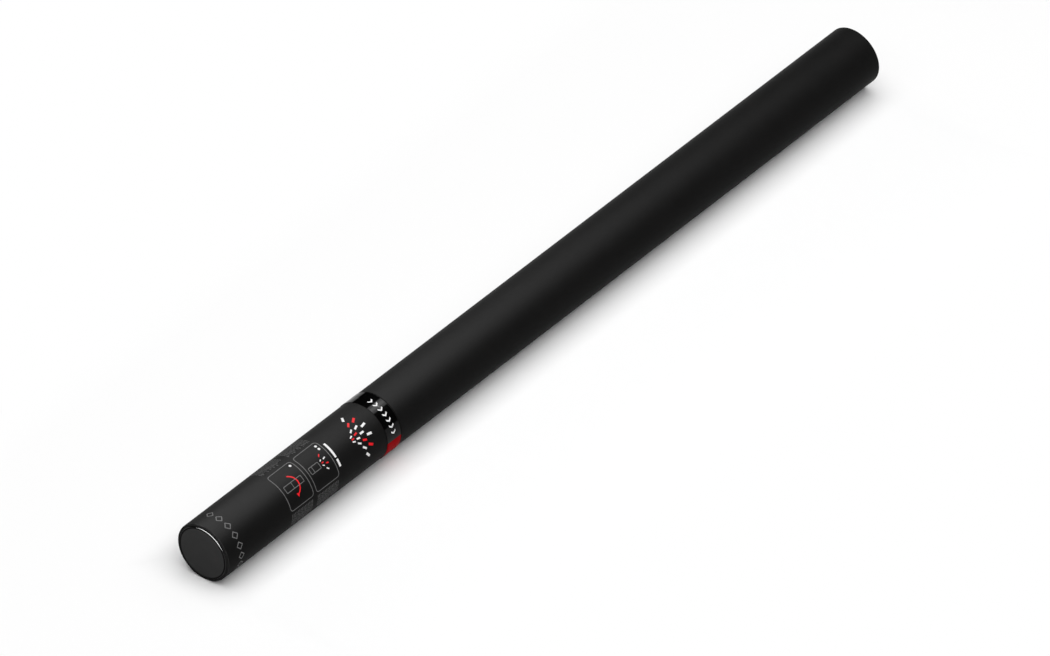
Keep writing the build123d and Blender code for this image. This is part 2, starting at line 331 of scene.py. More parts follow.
def finish(name, recipe):
    """Make a material from a recipe that returns the values of a Principled shader."""
    material = bpy.data.materials.new(name)
    material.use_nodes = True
    material.node_tree.nodes.clear()
    tree = Tone(material.node_tree)
    shader = tree.node("BsdfPrincipled", {}, recipe(tree))
    tree.node("OutputMaterial", {}, {"Surface": shader})
    print("finish", name, len(material.node_tree.nodes), "nodes")
    return material


# %% [markdown]
# ## Floor and light
# The floor is a wide white disc whose rim stands up, so that a low camera sees white too.
# Close to the tube it is plain white paint that keeps the shadow. Farther out it turns to an
# even white of strength 1, but only for the camera and for reflections, so it adds no light. In
# front this comes slowly; behind the tube and past its ends the shadow is soon faint, though more
# of it is kept beyond the muzzle, where the charge lands. Far along, where less of the lamp's light
# falls, the paint itself is lighter.

# %% White floor with a raised rim
floor_r = 30.0
rim_height = 2.5
bpy.ops.mesh.primitive_cylinder_add(
    vertices=128, radius=floor_r, depth=rim_height, location=(0, 0, rim_height / 2)
)
floor = bpy.context.object
floor.name = "white_floor"
bpy.ops.object.transform_apply(location=True)
bpy.ops.object.mode_set(mode="EDIT")
pick_faces(floor, lambda face: face.normal.z > 0.5)
bpy.ops.mesh.delete(type="ONLY_FACE")
bpy.ops.mesh.select_all(action="SELECT")
bpy.ops.mesh.flip_normals()
close(floor)

# %% White paint, with its fades in metres from the tube's middle
back_fade, side_fade = (0.035, 0.060), (0.10, 0.25)
end_fade, landing_fade, far_fade = (0.395, 0.428), (0.47, 0.6), (1.2, 1.6)
faint_share, landing_share = 0.8, 0.5
near_white, far_white, paint_fade = grey(0.9), grey(0.99), (0.45, 1.1)
white_paint = bpy.data.materials.new("white_paint")
white_paint.use_nodes = True
white_paint.node_tree.nodes.clear()
paint = Tone(white_paint.node_tree)
behind = paint.node("SeparateXYZ", {}, {0: place(paint)}, "Y")
ahead = paint.node("SeparateXYZ", {}, {0: place(paint)}, "X")
aside = behind.maths("ABSOLUTE", behind)
past = ahead.maths("ABSOLUTE", ahead)
ends = past.step(*end_fade) * (1 - ahead.step(*landing_fade) * landing_share)
faint = behind.step(*back_fade).larger(ends) * faint_share
white = faint.larger(aside.step(*side_fade)).larger(past.step(*far_fade))
rays = [paint.node("LightPath", output=kind + " Ray")
        for kind in ("Is Camera", "Is Glossy", "Is Transmission")]
seen = rays[0].larger(rays[1]).larger(rays[2])
near = paint.node("BsdfDiffuse", {}, {"Color": near_white})
far = paint.node("BsdfDiffuse", {}, {"Color": far_white})
matt = paint.node("MixShader", {}, {0: past.step(*paint_fade), 1: near, 2: far})
even = paint.node("Emission", {}, {"Color": grey(1.0), "Strength": 1.0})
mixed = paint.node("MixShader", {}, {0: white * seen, 1: matt, 2: even})
paint.node("OutputMaterial", {}, {"Surface": mixed})
floor.data.materials.append(white_paint)
print("finish white_paint", len(white_paint.node_tree.nodes), "nodes")

# %% [markdown]
# As in a small studio, a broad panel overhead gives the level and the soft shadow in front. A
# box above the barrel, brighter in its middle, draws the streak on the film. A wide one above
# the handle gives the dull sheen on the paper, which fades towards the muzzle, and a tall one
# beyond the base the white arc on the cap's rim. The panel is kept out of reflections, or it
# would wash over the whole upper side. The boxes only shine in reflections, so the panel alone
# sets the level, and the one beyond the base is later linked to the cap alone, as if a flag kept
# it off the film.

# %% Panel and boxes
def lamp(name, centre, width, depth, radiance, tilt=(0, 0, 0), only_gloss=False):
    """A rectangular lamp that faces down; a radiance of 1 looks white."""
    light = bpy.data.lights.new(name, "AREA")
    light.shape = "RECTANGLE"
    light.size, light.size_y = width, depth
    light.energy = radiance * math.pi * width * depth
    box = bpy.data.objects.new(name, light)
    bpy.context.scene.collection.objects.link(box)
    box.location = centre
    box.rotation_euler = [math.radians(turn) for turn in tilt]
    box.visible_camera = False
    box.visible_diffuse = not only_gloss
    print(name, "energy", round(light.energy, 1), "W")
    return box


panel = lamp("broad_panel", (0, -0.75, 2.0), width=5.0, depth=4.0, radiance=1.92)
panel.visible_glossy = False
lamp("streak_box", (1.0, 0, 1.5), width=0.6, depth=0.8, radiance=5.0, only_gloss=True)
lamp("streak_core", (1.0, 0, 1.49), width=0.6, depth=0.3, radiance=3.5, only_gloss=True)
lamp("sheen_box", (0.325, 0.57, 1.3), width=0.65, depth=3.1, radiance=41.0, only_gloss=True)
rim_box = lamp("rim_box", (-1.5, -0.15, 1.15), width=1.7, depth=2.8, radiance=56.0,
               tilt=(0, -90, 0), only_gloss=True)

room = bpy.data.worlds.new("dark_room")
room.use_nodes = True
room.node_tree.nodes["Background"].inputs["Color"].default_value = grey(0.0)
bpy.context.scene.world = room

# %% [markdown]
# ## Black paper over board
# The tube is wound from grey-brown board and covered with matt black paper. The paper is
# nearly black but not flat: it has a tooth of half a millimetre that breaks up its sheen, finer
# fibres, broad patches that are a little duller, and an edge at the cap that is rubbed grey. The
# board shows at the cut ends and in the bore.

# %% Black paper
paper_skin, skin_edge = 0.5, 0.08
rubbed_end, rubbed_fade = 2.0, 0.35
ply_turn = 20


def black_paper_recipe(tree):
    fibre = noise(tree, 0.22, 3, (0.45, 1, 1))
    patch = noise(tree, 14, 2)
    skin = out(tree).step(tube_r - paper_skin, tube_r - paper_skin + skin_edge)
    tooth = noise(tree, 0.5, 2)
    rubbed = 1 - along(tree).step(rubbed_end - rubbed_fade, rubbed_end)
    rubbed = rubbed * noise(tree, 3, 3).step(0.2, 0.6)
    black = (fibre * 0.3 + tooth * 0.4 + patch * 0.3).mix(grey(0.0030), grey(0.0082, 0.02))
    black = (rubbed * 0.8).mix(black, grey(0.035))
    wave = out(tree) * ply_turn
    ply = wave.maths("SINE", wave) * 0.25 + noise(tree, 0.5, 3) * 0.7
    board = ply.mix((0.10, 0.078, 0.055, 1), (0.22, 0.18, 0.135, 1))
    return {
        "Base Color": skin.mix(board, black),
        "Roughness": 0.44 + fibre * 0.10 + patch * 0.06 + (1 - skin) * 0.3,
        "Specular IOR Level": 0.022,
        "Normal": (fibre * 0.15 + tooth * 0.85).bump(0.075),
    }


black_paper = finish("black_paper", black_paper_recipe)

# %% [markdown]
# ## Barrel and handle tubes
# Each tube is one section spun round the axis: outside, rounded lip, bore, rounded lip. The
# barrel has a scored line beside the film strip, where a thumbnail finds the joint.

# %% Turn the two tubes
lip = 0.35
score_x, score_width, score_depth, score_slope = 207.8, 0.8, 0.4, 0.7


def tube_section(start, stop, scored=False):
    """Half section of a wound tube with softened lips, closed on itself."""
    half = score_width / 2
    side_r = tube_r - score_slope * score_depth
    groove = [
        (score_x - half, tube_r),
        (score_x - half / 2, side_r),
        (score_x, tube_r - score_depth),
        (score_x + half / 2, side_r),
        (score_x + half, tube_r),
    ]
    section = rounding(start + lip, tube_r - lip, lip, 180, 90)
    section += groove if scored else []
    section += rounding(stop - lip, tube_r - lip, lip, 90, 0)
    section += rounding(stop - lip, bore_r + lip, lip, 0, -90)
    section += rounding(start + lip, bore_r + lip, lip, -90, -180)
    return section + section[:1]


barrel = turned("barrel_wound_tube", tube_section(*stations("barrel_tube"), scored=True))
settle(barrel, "barrel", "black_paper", black_paper, "barrel_tube")
handle = turned("handle_wound_tube", tube_section(*stations("grip_sleeve")))
settle(handle, "handle", "black_paper", black_paper, "grip_sleeve")

# %% [markdown]
# ## Flat drawings that are rolled round the tube
# The paper's overlap, the film, the tab and the print all lie on a cylinder. They are drawn
# flat, where a bar is just a plane, then cut across every millimetre or so and wrapped. On
# the flat sheet X is the station and Y runs round the tube; the distance round is counted in
# millimetres from the top towards the front.

# %% Draw flat, wrap and thicken
def flat(x, s):
    """A place on the flat sheet, from a station and a distance round the tube."""
    return Vector((base_x + x * MM, -s * MM, 0))


def bar(x0, x1, s0, s1, turn=0, corner=0):
    """A filled bar between two stations and two distances round, perhaps turned."""
    middle = flat((x0 + x1) / 2, (s0 + s1) / 2)
    bpy.ops.mesh.primitive_plane_add(size=MM, location=middle)
    bpy.ops.transform.resize(value=(x1 - x0, s1 - s0, 1), center_override=middle)
    if turn:
        bpy.ops.transform.rotate(
            value=math.radians(turn), orient_axis="Z", center_override=middle
        )
    if corner:
        bpy.ops.mesh.bevel(offset=corner * MM, segments=5, affect="VERTICES")


def keep_line(width):
    """Leave only a line along the edge of the shape just drawn."""
    bpy.ops.mesh.select_linked()
    bpy.ops.mesh.inset(thickness=width * MM, depth=0)
    bpy.ops.mesh.delete(type="FACE")


def curved_line(x, s, r, width, start, stop, steps=20):
    """A curved line about a point; angles run from +X towards the front."""
    ends = [flat(x + reach * math.cos(math.radians(start)),
                 s + reach * math.sin(math.radians(start)))
            for reach in (r - width / 2, r + width / 2)]
    draw(ends)
    bpy.ops.mesh.spin(
        steps=steps, angle=math.radians(stop - start), center=flat(x, s), axis=(0, 0, 1)
    )


def wrap(sheet, radius, thick, pitch=1.25):
    """Cut a flat drawing across, wrap it round the tube and thicken it outwards."""
    reach = [point.co.y for point in bmesh.from_edit_mesh(sheet.data).verts]
    cut = min(reach) + pitch * MM / 2
    while cut < max(reach):
        bpy.ops.mesh.select_all(action="SELECT")
        bpy.ops.mesh.bisect(plane_co=(0, cut, 0), plane_no=(0, 1, 0))
        cut += pitch * MM
    pick_faces(sheet, lambda face: face.normal.z < 0)
    bpy.ops.mesh.flip_normals()
    bpy.ops.object.mode_set(mode="OBJECT")
    for point in sheet.data.vertices:
        turn = point.co.y / (radius * MM)
        r = radius * MM + point.co.z
        point.co = (point.co.x, r * math.sin(turn), axis_z + r * math.cos(turn))
    apply(sheet, "SOLIDIFY", thickness=thick * MM, offset=1)
    bpy.ops.object.mode_set(mode="EDIT")
    return close(sheet)


# %% [markdown]
# ### Paper overlap
# The black paper goes once round and laps over itself in a straight line at the back. It is a
# strip as thick as the paper, with its edge a little uneven in tone.

# %% Lay the overlap on each tube
overlap_s, overlap_width, overlap_thick, overlap_sink = -54.5, 6.0, 0.06, 0.01
for body, node in (("barrel", "barrel_tube"), ("handle", "grip_sleeve")):
    start, stop = stations(node)
    overlap = new_sheet(body + "_paper_overlap")
    first = start + lip if body == "handle" else score_x + score_width
    bar(first, stop - lip, overlap_s - overlap_width / 2, overlap_s + overlap_width / 2)
    wrap(overlap, tube_r - overlap_sink, overlap_thick)
    settle(overlap, body, "black_paper", black_paper)

# %% [markdown]
# ## Film strip and pull tab
# The strip is a glossy black film that grips both tubes over the joint. It is thin enough to
# dip where the joint runs under it. The tab is the same film in red with rounded corners. Gloss
# is what shows here: a hard streak from the softbox and the pale floor along the low edge.

# %% Films
film_r, film_thick = 25.1, 0.22
dark_red, light_red = (0.25, 0.002, 0.004, 1), (0.33, 0.005, 0.006, 1)


def strip_film_recipe(tree):
    wave = noise(tree, 7, 1, (0.5, 1, 1))
    scuff = noise(tree, 0.6, 4, (0.2, 1, 1)).step(0.62, 0.8)
    return {
        "Base Color": scuff.mix(grey(0.0015), grey(0.006)),
        "Roughness": 0.07 + scuff * 0.10,
        "IOR": 1.19,
        "Normal": wave.bump(0.05, 0.25),
    }


def tab_film_recipe(tree):
    wave = noise(tree, 6, 1)
    scuff = noise(tree, 0.6, 4, (0.2, 1, 1)).step(0.60, 0.85)
    return {
        "Base Color": (scuff * 0.5 + wave * 0.3).mix(dark_red, light_red),
        "Roughness": 0.35 + scuff * 0.15,
        "Specular IOR Level": 0.004,
        "Normal": wave.bump(0.05, 0.3),
    }


strip_film = finish("strip_film", strip_film_recipe)
tab_film = finish("tab_film", tab_film_recipe)

# %% Cut and wrap the strip and the tab
strip_start, strip_stop = stations("safety_strip")
strip_back, strip_front, tab_gap, tab_end = -145, 90, 0.7, 140
strip_corner, tab_corner = 2.0, 3.0
joint_x, joint_half = 198.85, 0.65
joint_dips = ((-1, 0.02), (0, 0.045), (1, 0.02))


def round_way(degrees):
    """Distance round the film, in millimetres, at an angle from the top."""
    return math.radians(degrees) * film_r


def film_piece(name, start, stop, free_end, corner):
    """A length of film between two angles, with the corners of its free end rounded."""
    film = new_sheet(name)
    bar(strip_start, strip_stop, round_way(start), round_way(stop))
    pick_points(film, lambda co: abs(-co.y / MM - round_way(free_end)) < 0.01)
    bpy.ops.mesh.bevel(offset=corner * MM, segments=6, affect="VERTICES")
    for cut in (-2, -1, 0, 1, 2):
        bpy.ops.mesh.select_all(action="SELECT")
        bpy.ops.mesh.bisect(plane_co=flat(joint_x + cut * joint_half, 0), plane_no=(1, 0, 0))
    for cut, dip in joint_dips:
        line = flat(joint_x + cut * joint_half, 0).x
        pick_points(film, lambda co: abs(co.x - line) < MM / 100)
        bpy.ops.transform.translate(value=(0, 0, -dip * MM))
    return wrap(film, film_r, film_thick)


strip = film_piece("film_strip", strip_back, strip_front, strip_back, strip_corner)
settle(strip, "strip", "strip_film", strip_film, "safety_strip")
tab = film_piece("red_pull_tab", strip_front + tab_gap, tab_end, tab_end, tab_corner)
settle(tab, "tab", "tab_film", tab_film, "pull_tab")

# %% [markdown]
# ## Print
# The handle is printed in white, grey and red: a fan of paper slips, two small pictures that show
# the twist and the burst, numbered by dots, grey bars where small print would be and a row of
# lozenges at the base. The marks are plain shapes with no letters. Each ink is one thin raised
# piece, as screen printing leaves it.

# %% Inks
ink_r, ink_thick = 25.005, 0.03


def ink(name, thin, full):
    """Ink that lets a little of the paper through where the fibres stand up."""
    def recipe(tree):
        fibre = noise(tree, 0.25, 3)
        return {
            "Base Color": fibre.step(0.25, 0.55).mix(thin, full),
            "Roughness": 0.45 + fibre * 0.15,
            "Specular IOR Level": 0.03,
            "Normal": fibre.bump(0.01, 0.4),
        }
    return finish(name, recipe)


white_ink = ink("white_ink", grey(0.6), grey(0.82))
grey_ink = ink("grey_ink", grey(0.09), grey(0.15))
dark_ink = ink("dark_grey_ink", grey(0.05), grey(0.085))
red_ink = ink("red_ink", (0.6, 0.008, 0.012, 1), (0.8, 0.012, 0.018, 1))

# %% The fan of slips
def fan(x, s, rows, pitch):
    """Slips that fly out of a point in staggered rows: station, distance round, turn and size."""
    slips = []
    for reach, count, size in rows:
        for n in range(count):
            turn = pitch * (n - (count - 1) / 2)
            a = math.radians(turn)
            slips.append((x + reach * math.cos(a), s + reach * math.sin(a), turn, size))
    return slips


def slip(x, s, turn, size):
    """One small slip, two and a half times as long as wide."""
    bar(x - size / 2, x + size / 2, s - size / 5, s + size / 5, turn)


print_s = 17.5
fan_x, fan_turn = 154.5, 21
fan_rows = ((6, 3, 2.8), (11, 4, 3.5), (16.5, 5, 4.2), (22.5, 6, 4.9))
burst_x, burst_turn = 119.5, 30
burst_rows = ((4.5, 3, 2.0), (8.5, 4, 2.6))
big_fan = fan(fan_x, print_s, fan_rows, fan_turn)
small_fan = fan(burst_x, print_s, burst_rows, burst_turn)
print("fans of", len(big_fan), "and", len(small_fan), "slips")

# %% White ink
picture_starts = (76.0, 106.5)
picture_width, picture_round = 27.5, 35.0
dot_r, dot_inset, dot_s, dot_pitch = 1.1, 3.6, 4.0, 3.4
stripe_start, stripe_stop = 136.4, 138.4
stripes = ((6.5, 20.5), (22.0, 28.5))


def dot(x, s, r):
    """A round spot."""
    bpy.ops.mesh.primitive_circle_add(
        vertices=24, radius=r * MM, fill_type="NGON", location=flat(x, s)
    )


white_print = new_sheet("white_print")
for n, place_and_size in enumerate(big_fan):
    if n % 3 != 1:
        slip(*place_and_size)
for place_and_size in small_fan[::2]:
    slip(*place_and_size)
for steps, start in enumerate(picture_starts, 1):
    for n in range(steps):
        dot(start + picture_width - dot_inset, dot_s + dot_pitch * n, dot_r)
for s0, s1 in stripes:
    bar(stripe_start, stripe_stop, s0, s1)
wrap(white_print, ink_r, ink_thick)
settle(white_print, "handle", "black_paper", white_ink)

# %% Red ink
red_print = new_sheet("red_print")
for n, place_and_size in enumerate(big_fan):
    if n % 3 == 1:
        slip(*place_and_size)
for place_and_size in small_fan[1::2]:
    slip(*place_and_size)
arrow_x, arrow_r, arrow_width, arrow_from, arrow_to = 85.5, 9.0, 1.1, -65, 60
curved_line(arrow_x, print_s, arrow_r, arrow_width, arrow_from, arrow_to)
tip, tip_r = math.radians(68), 2.1
tip_place = flat(arrow_x + arrow_r * math.cos(tip), print_s + arrow_r * math.sin(tip))
bpy.ops.mesh.primitive_circle_add(
    vertices=3, radius=tip_r * MM, fill_type="NGON", location=tip_place
)
bpy.ops.transform.rotate(value=tip, orient_axis="Z", center_override=tip_place)
wrap(red_print, ink_r, ink_thick)
settle(red_print, "handle", "black_paper", red_ink)

# %% Grey lines: two framed pictures of a tube, and lozenges near the base
frame_corner, frame_line = 3.0, 0.6
drawn_tubes = ((79.5, 100.0, 88.0), (109.0, 120.5, 112.5))
drawn_half, drawn_corner, drawn_line, cross_half = 3.0, 0.8, 0.55, 2.6
lozenge_count, lozenge_s, lozenge_pitch = 7, -6.0, 9.0
lozenge_x, lozenge_half, lozenge_corner, lozenge_line = 16.5, 2.5, 0.5, 0.75
grey_print = new_sheet("grey_line_print")
for start in picture_starts:
    bar(start, start + picture_width, 0, picture_round, corner=frame_corner)
    keep_line(frame_line)
for start, stop, joint in drawn_tubes:
    bar(start, stop, print_s - drawn_half, print_s + drawn_half, corner=drawn_corner)
    keep_line(drawn_line)
    bar(joint, joint + drawn_line, print_s - cross_half, print_s + cross_half)
for n in range(lozenge_count):
    s = lozenge_s + lozenge_pitch * n
    bar(lozenge_x - lozenge_half, lozenge_x + lozenge_half, s - lozenge_half, s + lozenge_half,
        turn=45, corner=lozenge_corner)
    keep_line(lozenge_line)
wrap(grey_print, ink_r, ink_thick)
settle(grey_print, "handle", "black_paper", grey_ink)

# %% Dark grey bars in place of small print
draws = random.Random(11)
line_pitch, line_height, shortest_line = 1.7, 0.75, 0.7
short_bar, long_bar, bar_gap, least_bar = 1.2, 4.2, 0.55, 0.5
block_inset, blocks = 1, ((-17, -2.5), (37.5, 52))


def small_print(x0, x1, s0, s1):
    """Lines of short bars that run round the tube; they hold no letters."""
    x = x0
    while x + line_height <= x1:
        s = s0
        end = s0 + (s1 - s0) * draws.uniform(shortest_line, 1.0)
        while s < end - least_bar:
            length = min(draws.uniform(short_bar, long_bar), end - s)
            bar(x, x + line_height, s, s + length)
            s += length + bar_gap
        x += line_pitch


dark_print = new_sheet("dark_grey_print")
for start in picture_starts:
    for s0, s1 in blocks:
        small_print(start + block_inset, start + picture_width - block_inset, s0, s1)
wrap(dark_print, ink_r, ink_thick)
settle(dark_print, "handle", "black_paper", dark_ink)

# %% [markdown]
# The film carries a row of white chevrons that point to the tab, printed on the film itself, so
# they ride on the strip. One chevron is a bar cut in the middle whose middle is pushed along.

# %% Chevrons on the film
chevron_count, chevron_s, chevron_pitch = 7, 1.0, 5.2
chevron_x, chevron_reach, chevron_half, chevron_push = 199.0, 2.4, 0.75, 1.8
film_ink_gap = 0.005
chevrons = new_sheet("film_chevrons")
for n in range(chevron_count):
    s = chevron_s + chevron_pitch * n
    bar(chevron_x - chevron_reach, chevron_x + chevron_reach, s - chevron_half, s + chevron_half)
    bpy.ops.mesh.subdivide(number_cuts=1)
    pick_points(chevrons, lambda co: abs(co.x - flat(chevron_x, 0).x) < MM / 100
                and abs(-co.y / MM - s) < 1)
    bpy.ops.transform.translate(value=(0, -chevron_push * MM, 0))
wrap(chevrons, film_r + film_thick + film_ink_gap, ink_thick)
settle(chevrons, "strip", "strip_film", white_ink)

# %% [markdown]
# ## Base cap
# A moulded cap: a flat, finely textured disc with a thin groove round it, a rounded ridge that
# is polished on its outer side and catches the light there, and behind it a matt flange that
# covers the tube's end. It is turned in one spin, with its skirt and the ring that holds the
# foam pad. Disc, ridge and flange have a finish each, as polish reflects more than texture.
# The flange's finish also holds painted shade: the groove, the inner side of the ridge and the
# crease before the flange are painted nearly black.

# %% Cap plastics
def textured_plastic_recipe(tree):
    spark = noise(tree, 0.16, 2)
    cloud = noise(tree, 9, 2)
    return {
        "Base Color": (spark * 0.5 + cloud * 0.5).mix(grey(0.020), grey(0.030)),
        "Roughness": 0.6 + cloud * 0.1,
        "Specular IOR Level": 0.02,
        "Normal": spark.bump(0.02, 0.5),
    }


def polished_plastic_recipe(tree):
    smear = noise(tree, 3, 3)
    scuff = noise(tree, 0.5, 4).step(0.64, 0.8)
    return {
        "Base Color": scuff.mix(grey(0.0015), grey(0.006)),
        "Roughness": 0.06 + smear * 0.06 + scuff * 0.15,
        "IOR": 1.35,
        "Normal": smear.bump(0.01, 0.3),
    }


def flange_plastic_and_painted_shade_recipe(tree):
    cloud = noise(tree, 5, 3)
    # Inside a radius of 23 mm, in the groove, on the inner side of the ridge and in the crease
    # before the flange, the colour is painted nearly black as painted shade in those hollows.
    outer = out(tree).step(23.0, 23.5)
    black = cloud.mix(grey(0.006), grey(0.012))
    return {
        "Base Color": outer.mix(grey(0.001), black),
        "Roughness": 0.6 + cloud * 0.15,
        "Specular IOR Level": 0.01,
        "Normal": noise(tree, 0.2, 2).bump(0.02, 0.4),
    }


textured_plastic = finish("textured_plastic", textured_plastic_recipe)
polished_plastic = finish("polished_plastic", polished_plastic_recipe)
flange_plastic = finish("flange_plastic", flange_plastic_and_painted_shade_recipe)

# %% Turn the cap
disc_r, ridge_r, ridge_size = 21.45, 21.95, 1.0
flange_x, cap_back, skirt_r, skirt_wall = 0.75, 1.4, 23.4, 1.8
groove_x, flange_r = 0.3, tube_r - 0.26
holder_in, holder_out, holder_stop = 14.0, 15.5, 5.4
rib_count, rib_x, rib_r, rib_size = 6, 3.2, 18.6, (3.8, 1.2, 7.4)
cap_stop = stations("base_cap")[1]
skirt_in = skirt_r - skirt_wall
cap_section = [(0, 0), (0, disc_r - 0.3), (0.04, disc_r - 0.12), (groove_x, disc_r)]
cap_section += [(groove_x, ridge_r - 0.15), (0.08, ridge_r - 0.1)]
cap_section += rounding(ridge_size, ridge_r, ridge_size, 180, 105, count=15)
cap_section += [(flange_x, ridge_r + ridge_size + 0.03), (flange_x, tube_r - 0.5)]
cap_section += [(flange_x + 0.06, tube_r - 0.36), (flange_x + 0.2, flange_r)]
cap_section += [(cap_back, flange_r), (cap_back, skirt_r + 0.15), (cap_back + 0.2, skirt_r)]
cap_section += [(cap_stop - 0.5, skirt_r), (cap_stop, skirt_r - 0.4)]
cap_section += [(cap_stop, skirt_in + 0.2), (cap_stop - 0.3, skirt_in)]
cap_section += [(cap_back + 0.4, skirt_in), (cap_back, skirt_in - 0.4)]
cap_section += [(cap_back, holder_out + 0.2), (cap_back + 0.2, holder_out)]
cap_section += [(holder_stop - 0.2, holder_out), (holder_stop, holder_out - 0.2)]
cap_section += [(holder_stop, holder_in + 0.2), (holder_stop - 0.2, holder_in)]
cap_section += [(cap_back, holder_in), (cap_back, 0)]
cap = new_sheet("moulded_base_cap")
spin_section(cap_section)
for n in range(rib_count):
    middle = Vector((base_x + rib_x * MM, 0, axis_z + rib_r * MM))
    bpy.ops.mesh.primitive_cube_add(size=MM, location=middle)
    bpy.ops.transform.resize(value=rib_size, center_override=middle)
    bpy.ops.transform.rotate(
        value=math.tau * n / rib_count, orient_axis="X", center_override=(0, 0, axis_z)
    )
settle(close(cap), "handle", "cap_plastic", textured_plastic, "base_cap")


# %% Finish the flange and the ridge
def face_place(face):
    """Station and radius of a face's middle, in millimetres."""
    middle = face.calc_center_median()
    return (middle.x - base_x) / MM, math.hypot(middle.y, middle.z - axis_z) / MM


def refinish(piece, other, test):
    """Give another finish to the faces whose station and radius pass a test."""
    piece.data.materials.append(other)
    piece.active_material_index = len(piece.data.materials) - 1
    bpy.ops.object.mode_set(mode="EDIT")
    pick_faces(piece, lambda face: test(*face_place(face)))
    bpy.ops.object.material_slot_assign()
    bpy.ops.object.mode_set(mode="OBJECT")


refinish(cap, flange_plastic, lambda x, r: x < cap_back + 0.01 and r > disc_r - 0.1)
refinish(cap, polished_plastic,
         lambda x, r: 0.2 < x < flange_x - 0.02 and ridge_r < r < ridge_r + ridge_size)
rim_light_takers = bpy.data.collections.new("rim_light_takers")
rim_light_takers.objects.link(cap)
rim_box.light_linking.receiver_collection = rim_light_takers
print(cap.name, "finishes", [slot.material.name for slot in cap.material_slots])

# %% [markdown]
# ## Muzzle lid
# A thin push-in lid just inside the muzzle: a flat rim, a panel a third of a millimetre lower,
# a small mark in the middle where the plastic went in, and a skirt that holds it in the bore.

# %% Turn the lid
lid_start, lid_stop = stations("muzzle_lid")
lid_r = node_radius("muzzle_lid")
panel_x, panel_r = lid_stop - 0.35, 17.6
gate_height, gate_r = 0.2, 0.9
lid_soft, lid_wall, lid_thick = 0.5, 1.0, 1.2
lid_in = lid_r - lid_wall
lid_section = [(panel_x + gate_height, 0), (panel_x + gate_height, gate_r), (panel_x, gate_r + 0.4)]
lid_section += [(panel_x, panel_r), (lid_stop - 0.04, panel_r + 0.5), (lid_stop, panel_r + 0.7)]
lid_section += rounding(lid_stop - lid_soft, lid_r - lid_soft, lid_soft, 0, 90)
lid_section += [(lid_start + 0.2, lid_r), (lid_start, lid_r - 0.2), (lid_start, lid_in + 0.2)]
lid_section += [(lid_start + 0.2, lid_in), (lid_stop - lid_thick - 0.3, lid_in)]
lid_section += [(lid_stop - lid_thick, lid_in - 0.3), (lid_stop - lid_thick, 0)]


def lid_plastic_recipe(tree):
    spark = noise(tree, 0.16, 2)
    cloud = noise(tree, 9, 2)
    return {
        "Base Color": (spark * 0.5 + cloud * 0.5).mix(grey(0.018), grey(0.032)),
        "Roughness": 0.5 + cloud * 0.12,
        "Specular IOR Level": 0.15,
        "Normal": spark.bump(0.02, 0.5),
    }


lid_plastic = finish("lid_plastic", lid_plastic_recipe)
lid = turned("push_in_lid", lid_section)
settle(lid, "lid", "cap_plastic", lid_plastic, "muzzle_lid")

# %% [markdown]
# ## Wad, cards and confetti
# A thick felt wad and a card take the push of the gas, and a thin card lies on the confetti.
# The confetti is packed in nine layers of white slips, each a bundle of small stacks. A stack
# is one thin slip repeated by an Array, then every slip is nudged a little, as by hand.

# %% Felt and card
def wad_felt_recipe(tree):
    fuzz = noise(tree, 0.5, 5)
    tuft = noise(tree, 4, 3)
    return {
        "Base Color": (fuzz * 0.7 + tuft * 0.3).mix(grey(0.2, 0.04), grey(0.45, 0.03)),
        "Roughness": 0.85 + fuzz * 0.12,
        "Specular IOR Level": 0.04,
        "Normal": (fuzz * 0.6 + tuft * 0.4).bump(0.5, 0.7),
    }


def wad_board_recipe(tree):
    fibre = noise(tree, 0.4, 4, (1, 0.3, 1))
    speck = noise(tree, 0.7, 2).step(0.66, 0.74)
    board = fibre.mix((0.34, 0.265, 0.18, 1), (0.48, 0.38, 0.27, 1))
    return {
        "Base Color": (speck * 0.5).mix(board, (0.16, 0.11, 0.07, 1)),
        "Roughness": 0.75 + fibre * 0.15,
        "Specular IOR Level": 0.04,
        "Normal": fibre.bump(0.03, 0.6),
    }


wad_felt = finish("wad_felt", wad_felt_recipe)
wad_board = finish("wad_board", wad_board_recipe)


def disc_section(node, soft):
    """Half section of a disc with rounded edges."""
    start, stop = stations(node)
    r = node_radius(node)
    section = [(start, 0), (start, r * 0.5)] + rounding(start + soft, r - soft, soft, 180, 90)
    section += rounding(stop - soft, r - soft, soft, 90, 0)
    return section + [(stop, r * 0.5), (stop, 0)]


# %% Turn the wad and the cards
wad = new_sheet("felt_wad")
spin_section(disc_section("pusher_wad", 1.4), 96)
bpy.ops.mesh.subdivide(number_cuts=1)
bpy.ops.transform.vertex_random(offset=0.12 * MM, uniform=1.0, seed=5)
settle(close(wad, 60), "charge", "wad_felt", wad_felt, "pusher_wad")
for node, name in (("wad_card", "wad_card_disc"), ("top_card", "top_card_disc")):
    card = turned(name, disc_section(node, 0.25), 128)
    settle(card, "charge", "wad_board", wad_board, node)

# %% Confetti slips
def slips_recipe(tree):
    leaf = noise(tree, 1.2, 2, (0.02, 1, 1))
    fibre = noise(tree, 0.5, 3)
    return {
        "Base Color": (leaf * 0.7 + fibre * 0.3).mix(grey(0.66, 0.01), grey(0.84)),
        "Roughness": 0.6 + fibre * 0.2,
        "Specular IOR Level": 0.04,
        "Normal": fibre.bump(0.02, 0.5),
    }


confetti_slips = finish("confetti_slips", slips_recipe)


